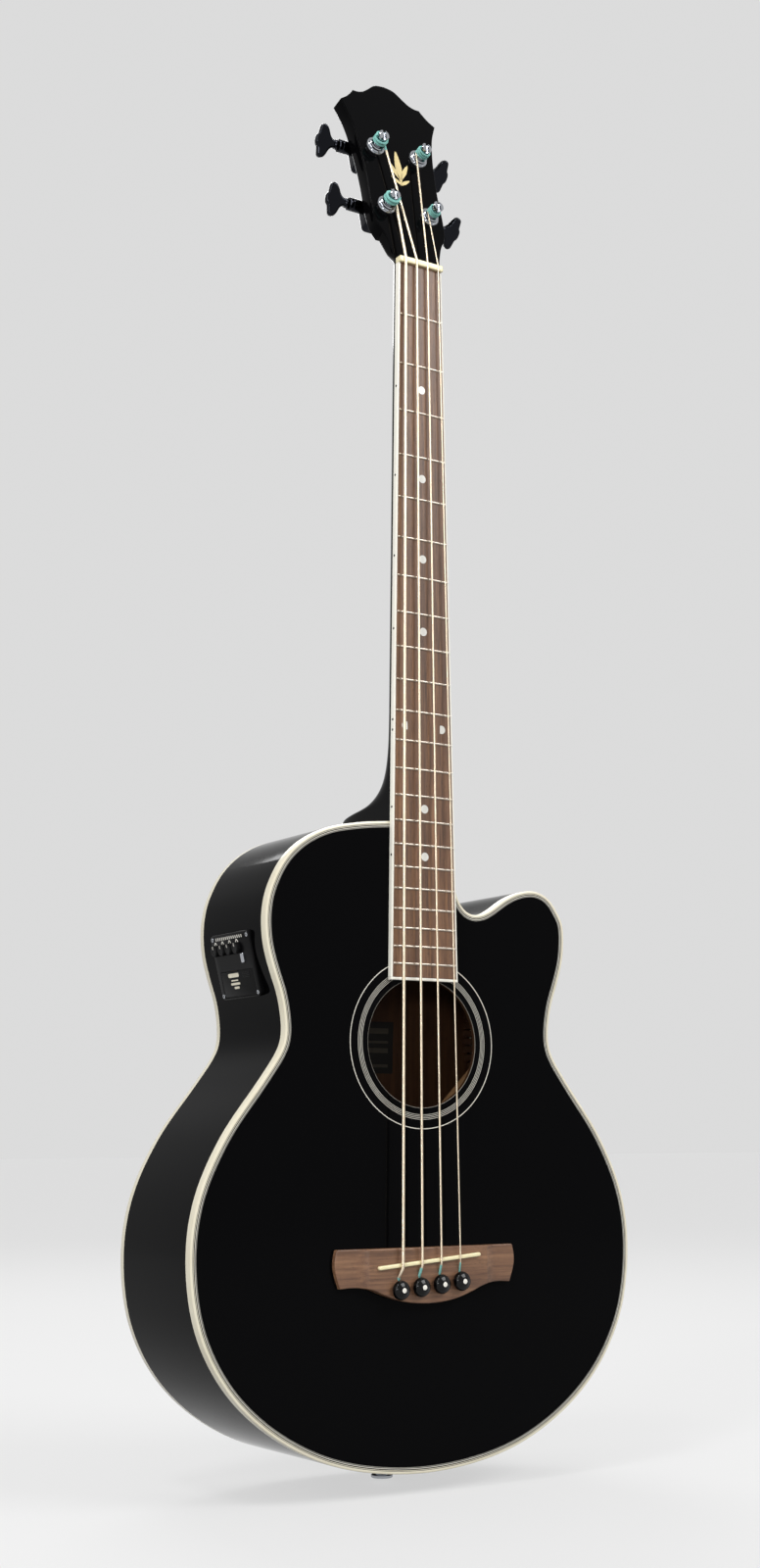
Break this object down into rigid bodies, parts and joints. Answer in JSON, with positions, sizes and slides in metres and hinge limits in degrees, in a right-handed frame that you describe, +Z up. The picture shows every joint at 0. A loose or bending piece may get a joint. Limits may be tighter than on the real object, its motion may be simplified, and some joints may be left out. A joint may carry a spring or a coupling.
{
  "type": "acoustic bass guitar",
  "caption": "Electro-acoustic bass guitar, single cutaway, black gloss body with cream binding, rosewood fretboard and bridge, geared tuners, side preamp.",
  "frame": {"origin": "the point under the headstock where a hanger's yoke carries the neck", "axes": "+X towards the treble side seen from the front, -Y out of the soundboard, +Z up along the neck"},
  "size_m": [0.4027, 0.1437, 1.1707],
  "materials": {
    "black_lacquer": "gloss",
    "ivory": "satin",
    "rosewood": "satin",
    "spruce": "matte",
    "mahogany": "matte",
    "chrome": "polished",
    "steel": "satin",
    "bronze": "satin",
    "black_plastic": "gloss",
    "foil": "satin"
  },
  "bodies": {
    "key_e": {"tuner_key_e": "chrome"},
    "post_e": {"tuner_post_e": "chrome"},
    "key_a": {"tuner_key_a": "chrome"},
    "post_a": {"tuner_post_a": "chrome"},
    "key_d": {"tuner_key_d": "chrome"},
    "post_d": {"tuner_post_d": "chrome"},
    "key_g": {"tuner_key_g": "chrome"},
    "post_g": {"tuner_post_g": "chrome"},
    "knob_1": {"preamp_knob_1": "black_plastic"},
    "knob_2": {"preamp_knob_2": "black_plastic"},
    "knob_3": {"preamp_knob_3": "black_plastic"},
    "knob_4": {"preamp_knob_4": "black_plastic"},
    "button": {"preamp_button": "black_plastic"},
    "door": {"battery_door": "black_plastic"},
    "root": {"soundboard": "black_lacquer", "back_plate": "black_lacquer", "side_rim": "black_lacquer", "neck": "black_lacquer", "headstock_veneer": "black_lacquer", "front_binding": "ivory", "back_binding": "ivory", "fretboard_binding": "ivory", "nut": "ivory", "saddle": "ivory", "fretboard": "rosewood", "bridge": "rosewood", "front_lining": "spruce", "back_lining": "spruce", "x_brace_bass": "spruce", "x_brace_treble": "spruce", "upper_brace": "spruce", "tone_bar": "spruce", "bridge_plate": "spruce", "back_brace_lower": "spruce", "back_brace_middle": "spruce", "back_brace_upper": "spruce", "neck_block": "mahogany", "tail_block": "mahogany", "truss_rod": "steel", "saddle_pickup": "steel", "bridge_pin_e": "black_plastic", "string_e": "bronze", "tuner_bushing_e": "chrome", "tuner_housing_e": "chrome", "bridge_pin_a": "black_plastic", "string_a": "bronze", "tuner_bushing_a": "chrome", "tuner_housing_a": "chrome", "bridge_pin_d": "black_plastic", "string_d": "bronze", "tuner_bushing_d": "chrome", "tuner_housing_d": "chrome", "bridge_pin_g": "black_plastic", "string_g": "bronze", "tuner_bushing_g": "chrome", "tuner_housing_g": "chrome", "preamp_panel": "black_plastic", "preamp_housing": "black_plastic", "battery": "foil", "output_jack": "chrome"}
  },
  "joints": [
    {"name": "key_e_turn", "type": "hinge", "parent": "root", "child": "key_e", "pos_m": [-0.0218, 0.02865, 0.0486], "axis": [1, 0, 0], "continuous": true},
    {"name": "post_e_turn", "type": "hinge", "parent": "root", "child": "post_e", "pos_m": [-0.0218, 0.00592, 0.04387], "axis": [0, -0.9627, 0.2706], "continuous": true},
    {"name": "key_a_turn", "type": "hinge", "parent": "root", "child": "key_a", "pos_m": [-0.0218, 0.04584, 0.10974], "axis": [1, 0, 0], "continuous": true},
    {"name": "post_a_turn", "type": "hinge", "parent": "root", "child": "post_a", "pos_m": [-0.0218, 0.02311, 0.10501], "axis": [0, -0.9627, 0.2706], "continuous": true},
    {"name": "key_d_turn", "type": "hinge", "parent": "root", "child": "key_d", "pos_m": [0.0218, 0.04584, 0.10974], "axis": [1, 0, 0], "continuous": true},
    {"name": "post_d_turn", "type": "hinge", "parent": "root", "child": "post_d", "pos_m": [0.0218, 0.02311, 0.10501], "axis": [0, -0.9627, 0.2706], "continuous": true},
    {"name": "key_g_turn", "type": "hinge", "parent": "root", "child": "key_g", "pos_m": [0.0218, 0.02865, 0.0486], "axis": [1, 0, 0], "continuous": true},
    {"name": "post_g_turn", "type": "hinge", "parent": "root", "child": "post_g", "pos_m": [0.0218, 0.00592, 0.04387], "axis": [0, -0.9627, 0.2706], "continuous": true},
    {"name": "knob_1_turn", "type": "hinge", "parent": "root", "child": "knob_1", "pos_m": [-0.14175, 0.07025, -0.58843], "axis": [-0.9704, 0, -0.2413], "range_deg": [-135, 135]},
    {"name": "knob_2_turn", "type": "hinge", "parent": "root", "child": "knob_2", "pos_m": [-0.14175, 0.05875, -0.58843], "axis": [-0.9704, 0, -0.2413], "range_deg": [-135, 135]},
    {"name": "knob_3_turn", "type": "hinge", "parent": "root", "child": "knob_3", "pos_m": [-0.14175, 0.04725, -0.58843], "axis": [-0.9704, 0, -0.2413], "range_deg": [-135, 135]},
    {"name": "knob_4_turn", "type": "hinge", "parent": "root", "child": "knob_4", "pos_m": [-0.14175, 0.03575, -0.58843], "axis": [-0.9704, 0, -0.2413], "range_deg": [-135, 135]},
    {"name": "button_press", "type": "slide", "parent": "root", "child": "button", "axis": [0.9704, 0, 0.2413], "range_m": [0, 0.001], "stiffness_N_per_m": 400},
    {"name": "battery_door_open", "type": "hinge", "parent": "root", "child": "door", "pos_m": [-0.1327, 0.046, -0.62482], "axis": [0, -1, 0], "range_deg": [0, 105]}
  ],
  "couplings": [
    {"joint": "post_e_turn", "follows": "key_e_turn", "ratio": 0.05},
    {"joint": "post_a_turn", "follows": "key_a_turn", "ratio": 0.05},
    {"joint": "post_d_turn", "follows": "key_d_turn", "ratio": 0.05},
    {"joint": "post_g_turn", "follows": "key_g_turn", "ratio": 0.05}
  ]
}
